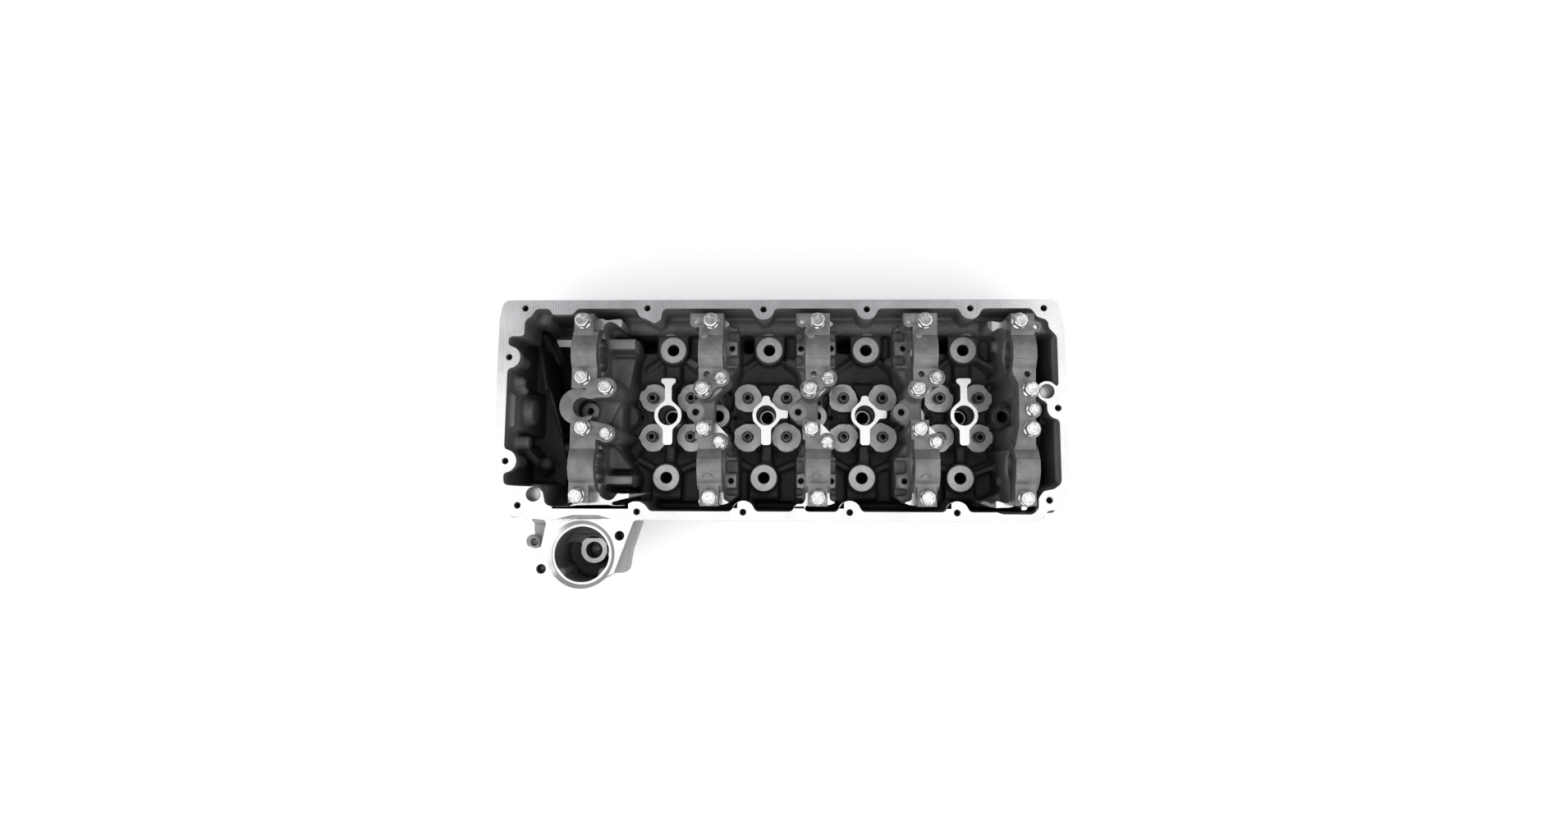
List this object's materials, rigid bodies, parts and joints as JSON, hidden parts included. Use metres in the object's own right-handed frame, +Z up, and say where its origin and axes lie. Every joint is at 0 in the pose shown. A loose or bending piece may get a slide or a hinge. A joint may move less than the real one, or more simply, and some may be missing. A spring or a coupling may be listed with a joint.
{
  "type": "cylinder head",
  "caption": "Bare aluminium cylinder head of an inline engine with twin-cam bearing caps bolted on, a chain chamber at one end and a thermostat housing.",
  "frame": {"origin": "middle of the middle row of head bolts, on the gasket face", "axes": "+X along the crankshaft from the chain end to the rear, +Y to the intake side, +Z up to the cam cover"},
  "size_m": [0.5755, 0.2899, 0.165],
  "materials": {
    "cast_aluminium": "as cast, with machined faces",
    "machined_aluminium": "satin",
    "zinc_plated_steel": "bright zinc",
    "guide_iron": "turned",
    "seat_steel": "ground",
    "sleeve_steel": "turned",
    "bright_steel": "ground",
    "plug_steel": "pressed, zinc plated"
  },
  "bodies": {
    "root": {"lower_head": "cast_aluminium", "chain_case": "cast_aluminium", "chain_end_wall": "cast_aluminium", "intake_side_wall": "cast_aluminium", "exhaust_side_wall": "cast_aluminium", "rear_end_wall": "cast_aluminium", "front_bearing_tower": "cast_aluminium", "bearing_tower_1": "cast_aluminium", "bearing_tower_2": "cast_aluminium", "bearing_tower_3": "cast_aluminium", "rear_bearing_tower": "cast_aluminium", "thermostat_housing": "cast_aluminium", "front_bearing_bridge": "machined_aluminium", "upper_bearing_cap_1": "machined_aluminium", "upper_bearing_cap_2": "machined_aluminium", "upper_bearing_cap_3": "machined_aluminium", "lower_bearing_cap_1": "machined_aluminium", "lower_bearing_cap_2": "machined_aluminium", "lower_bearing_cap_3": "machined_aluminium", "rear_bearing_bridge": "machined_aluminium", "front_bridge_bolts": "zinc_plated_steel", "upper_cap_bolts": "zinc_plated_steel", "lower_cap_bolts": "zinc_plated_steel", "rear_bridge_bolts": "zinc_plated_steel", "small_cap_bolts": "zinc_plated_steel", "intake_valve_guides": "guide_iron", "exhaust_valve_guides": "guide_iron", "intake_seat_rings": "seat_steel", "exhaust_seat_rings": "seat_steel", "injector_sleeves": "sleeve_steel", "cap_dowel_pins": "bright_steel", "chain_guide_pins": "bright_steel", "deck_ring_dowels": "bright_steel", "oil_bore_plugs": "bright_steel", "left_wall_plug": "plug_steel", "rear_core_plugs": "plug_steel", "exhaust_side_core_plugs": "plug_steel", "gallery_end_plug": "plug_steel"}
  },
  "joints": []
}
